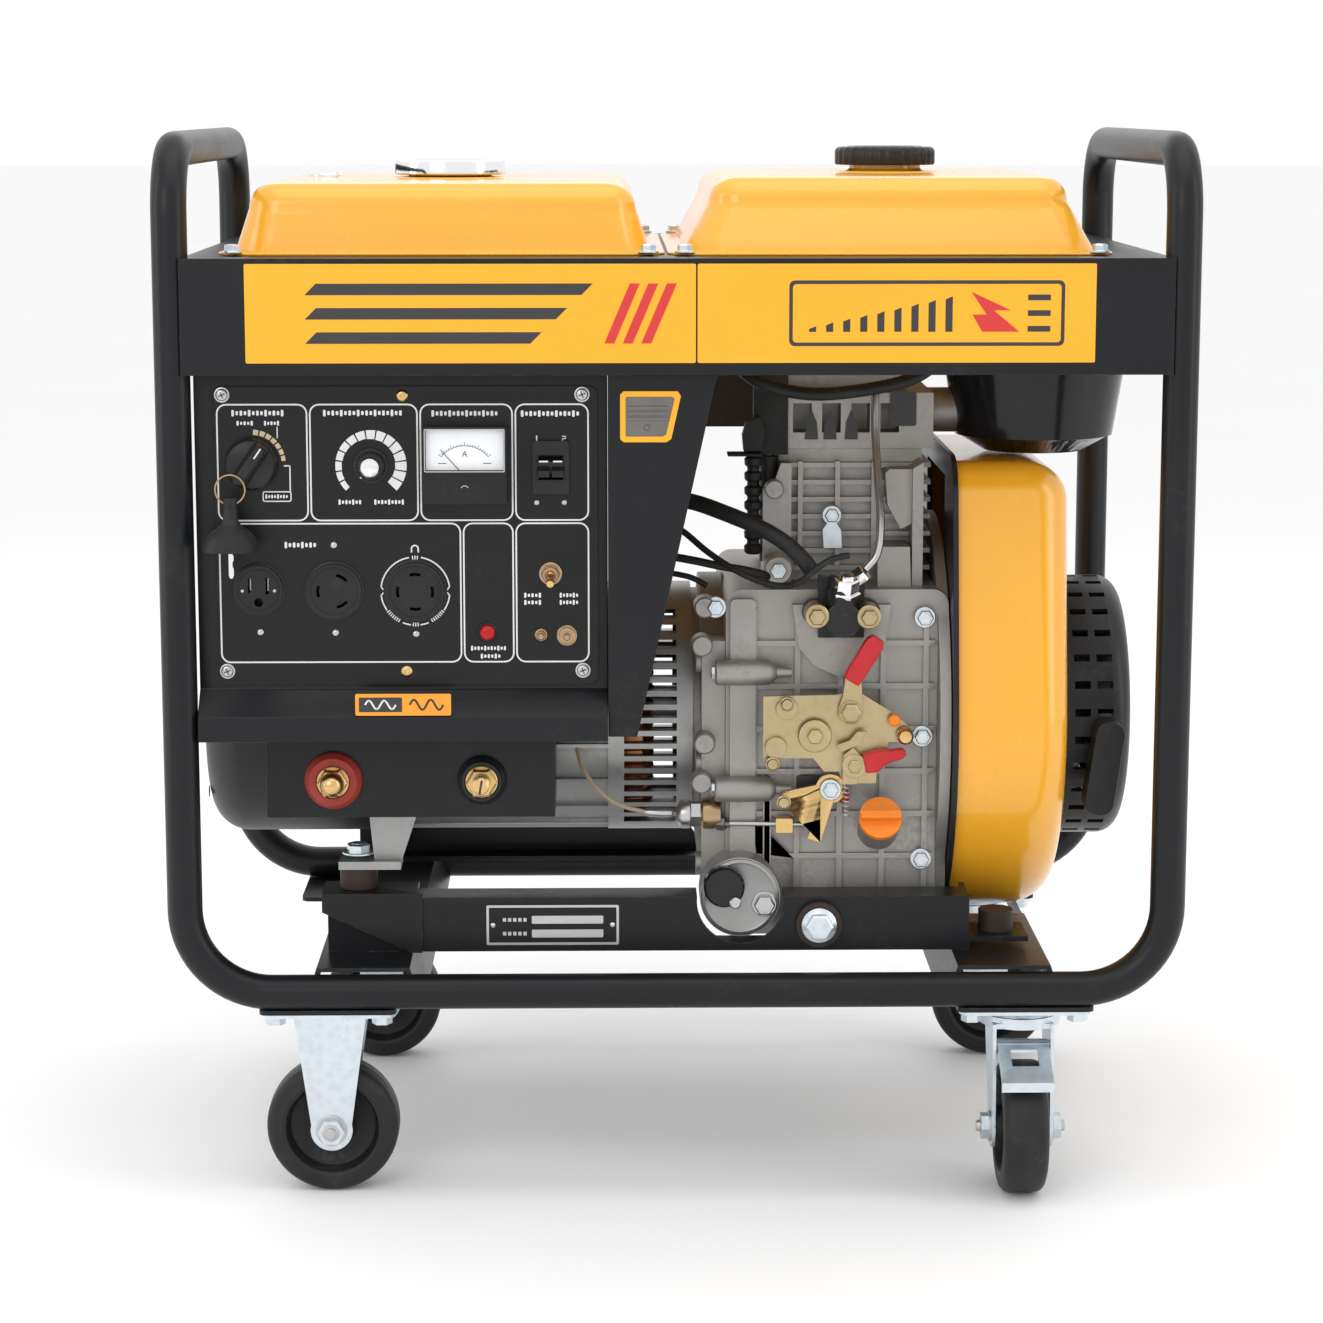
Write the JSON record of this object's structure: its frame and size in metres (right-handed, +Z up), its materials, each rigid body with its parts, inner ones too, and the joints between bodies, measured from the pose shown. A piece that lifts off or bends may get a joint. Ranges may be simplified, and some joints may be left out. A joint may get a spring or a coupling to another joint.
{
  "type": "engine driven welder",
  "caption": "Open tube-frame diesel welder generator on casters: control box, weld output studs, generator, engine, recoil starter and two fuel tanks.",
  "frame": {"origin": "on the floor under the middle of the frame and the wheels", "axes": "+X along the crankshaft towards the recoil starter, -Y towards the operator who faces the control panel, +Z up"},
  "size_m": [0.74, 0.4976, 0.7779],
  "materials": {
    "powder_black": "satin",
    "enamel_yellow": "gloss",
    "zinc": "plated",
    "rubber_black": "matt",
    "wheel_rubber": "matt",
    "black_plastic": "fine texture",
    "red_plastic": "satin",
    "needle_paint": "matt",
    "brass_parts": "machined",
    "cast_aluminium": "as cast",
    "steel_parts": "machined",
    "iron_parts": "as cast",
    "passivate_gold": "yellow passivate",
    "lever_red": "dipped sleeve",
    "pump_black": "painted",
    "heat_dark": "heat resistant paint",
    "orange_plastic": "moulded",
    "chrome_cap": "polished"
  },
  "bodies": {
    "frame": {"front_loop": "powder_black", "rear_loop": "powder_black", "top_band": "powder_black", "bed_frame": "powder_black", "rubber_mounts": "rubber_black", "fasteners": "zinc", "caster_brackets": "zinc", "control_box": "powder_black", "panel_plate": "powder_black", "side_cover": "powder_black", "meter_case": "black_plastic", "panel_fittings": "black_plastic", "receptacles": "black_plastic", "terminal_box": "powder_black", "insulator_red": "red_plastic", "insulator_black": "black_plastic", "terminal_studs": "brass_parts", "generator_cover": "powder_black", "generator_body": "cast_aluminium", "crankcase": "cast_aluminium", "gear_cover": "cast_aluminium", "cylinder_head": "cast_aluminium", "injection_pump": "pump_black", "governor_plate": "passivate_gold", "muffler": "heat_dark", "air_cleaner": "black_plastic", "fan_shroud": "enamel_yellow", "back_plate": "powder_black", "recoil_cover": "black_plastic", "left_tank": "enamel_yellow", "right_tank": "enamel_yellow", "hoses": "rubber_black"},
    "wheel_front_left": {"wheel_front_left": "wheel_rubber"},
    "wheel_rear_left": {"wheel_rear_left": "wheel_rubber"},
    "swivel_front": {"swivel_fork_front": "zinc"},
    "swivel_rear": {"swivel_fork_rear": "zinc"},
    "wheel_front_right": {"wheel_front_right": "wheel_rubber"},
    "wheel_rear_right": {"wheel_rear_right": "wheel_rubber"},
    "pedal_front": {"brake_pedal_front": "zinc"},
    "pedal_rear": {"brake_pedal_rear": "zinc"},
    "selector": {"selector_knob": "black_plastic"},
    "ring": {"key_ring": "brass_parts"},
    "fob": {"key_fob": "rubber_black"},
    "current": {"current_knob": "black_plastic"},
    "needle": {"meter_needle": "needle_paint"},
    "breaker": {"breaker_toggle": "black_plastic"},
    "toggle": {"toggle_lever": "brass_parts"},
    "crank": {"crankshaft": "steel_parts", "rotor": "steel_parts", "flywheel": "iron_parts"},
    "pulley": {"recoil_pulley": "black_plastic"},
    "grip": {"recoil_handle": "black_plastic"},
    "speed": {"speed_lever": "lever_red"},
    "stop": {"stop_lever": "lever_red"},
    "governor": {"governor_lever": "steel_parts"},
    "dipstick": {"dipstick": "orange_plastic"},
    "left_seal": {"left_cap_seal": "rubber_black"},
    "left_cap": {"left_cap": "chrome_cap"},
    "right_seal": {"right_cap_seal": "rubber_black"},
    "right_cap": {"right_cap": "black_plastic"}
  },
  "joints": [
    {"name": "wheel_front_left_spin", "type": "hinge", "parent": "frame", "child": "wheel_front_left", "pos_m": [-0.255, -0.1763, 0.049], "axis": [0, 1, 0], "continuous": true},
    {"name": "wheel_rear_left_spin", "type": "hinge", "parent": "frame", "child": "wheel_rear_left", "pos_m": [-0.241, 0.1763, 0.049], "axis": [0, 1, 0], "continuous": true},
    {"name": "swivel_front_turn", "type": "hinge", "parent": "frame", "child": "swivel_front", "pos_m": [0.255, -0.1763, 0.129], "axis": [0, 0, 1], "continuous": true},
    {"name": "swivel_rear_turn", "type": "hinge", "parent": "frame", "child": "swivel_rear", "pos_m": [0.255, 0.1763, 0.129], "axis": [0, 0, 1], "continuous": true},
    {"name": "wheel_front_right_spin", "type": "hinge", "parent": "swivel_front", "child": "wheel_front_right", "pos_m": [0.255, -0.1943, 0.049], "axis": [1, 0, 0], "continuous": true},
    {"name": "wheel_rear_right_spin", "type": "hinge", "parent": "swivel_rear", "child": "wheel_rear_right", "pos_m": [0.273, 0.1763, 0.049], "axis": [0, 1, 0], "continuous": true},
    {"name": "pedal_front_press", "type": "hinge", "parent": "swivel_front", "child": "pedal_front", "pos_m": [0.255, -0.1963, 0.112], "axis": [1, 0, 0], "range_deg": [0, 7]},
    {"name": "pedal_rear_press", "type": "hinge", "parent": "swivel_rear", "child": "pedal_rear", "pos_m": [0.275, 0.1763, 0.112], "axis": [0, 1, 0], "range_deg": [0, 7]},
    {"name": "selector_turn", "type": "hinge", "parent": "frame", "child": "selector", "pos_m": [-0.3035, -0.2048, 0.5442], "axis": [0, 1, 0], "range_deg": [-35, 65]},
    {"name": "ring_swing", "type": "hinge", "parent": "frame", "child": "ring", "pos_m": [-0.3165, -0.2288, 0.5387], "axis": [0, 1, 0], "range_deg": [-12, 6]},
    {"name": "fob_swing", "type": "hinge", "parent": "ring", "child": "fob", "pos_m": [-0.3165, -0.2288, 0.5177], "axis": [1, 0, 0], "range_deg": [-30, 3]},
    {"name": "current_turn", "type": "hinge", "parent": "frame", "child": "current", "pos_m": [-0.2185, -0.2048, 0.5426], "axis": [0, 1, 0], "range_deg": [0, 280]},
    {"name": "needle_swing", "type": "hinge", "parent": "frame", "child": "needle", "pos_m": [-0.1515, -0.2118, 0.5355], "axis": [0, 1, 0], "range_deg": [0, 84], "stiffness_Nm_per_rad": 0.001},
    {"name": "breaker_flip", "type": "hinge", "parent": "frame", "child": "breaker", "pos_m": [-0.0904, -0.2028, 0.5414], "axis": [1, 0, 0], "range_deg": [-36, 0]},
    {"name": "toggle_flip", "type": "hinge", "parent": "frame", "child": "toggle", "pos_m": [-0.091, -0.2058, 0.4647], "axis": [1, 0, 0], "range_deg": [-28, 0]},
    {"name": "crank_spin", "type": "hinge", "parent": "frame", "child": "crank", "pos_m": [0, 0, 0.3322], "axis": [1, 0, 0], "continuous": true},
    {"name": "pulley_turn", "type": "hinge", "parent": "frame", "child": "pulley", "pos_m": [0.321, 0, 0.3322], "axis": [-1, 0, 0], "range_deg": [0, 260]},
    {"name": "grip_pull", "type": "slide", "parent": "frame", "child": "grip", "axis": [0, -1, 0], "range_m": [0, 0.15], "stiffness_N_per_m": 60, "springref_m": -0.05},
    {"name": "speed_lever_turn", "type": "hinge", "parent": "frame", "child": "speed", "pos_m": [0.129, -0.15, 0.354], "axis": [0, 1, 0], "range_deg": [0, 35]},
    {"name": "stop_lever_turn", "type": "hinge", "parent": "frame", "child": "stop", "pos_m": [0.132, -0.15, 0.314], "axis": [0, 1, 0], "range_deg": [-30, 0]},
    {"name": "governor_lever_turn", "type": "hinge", "parent": "frame", "child": "governor", "pos_m": [0.1154, -0.14, 0.2934], "axis": [0, 1, 0], "range_deg": [-8, 8]},
    {"name": "dipstick_pull", "type": "slide", "parent": "frame", "child": "dipstick", "axis": [0, -0.866, 0.5], "range_m": [0, 0.06]},
    {"name": "left_cap_lift", "type": "slide", "parent": "frame", "child": "left_seal", "axis": [0, 0, 1], "range_m": [0, 0.05]},
    {"name": "left_cap_twist", "type": "hinge", "parent": "left_seal", "child": "left_cap", "pos_m": [-0.1685, -0.02, 0.747], "axis": [0, 0, 1], "range_deg": [0, 90]},
    {"name": "right_cap_lift", "type": "slide", "parent": "frame", "child": "right_seal", "axis": [0, 0, 1], "range_m": [0, 0.05]},
    {"name": "right_cap_twist", "type": "hinge", "parent": "right_seal", "child": "right_cap", "pos_m": [0.1616, -0.01, 0.757], "axis": [0, 0, 1], "range_deg": [0, 90]}
  ],
  "couplings": [
    {"joint": "pulley_turn", "follows": "grip_pull", "rad_per_m": 27.778}
  ]
}
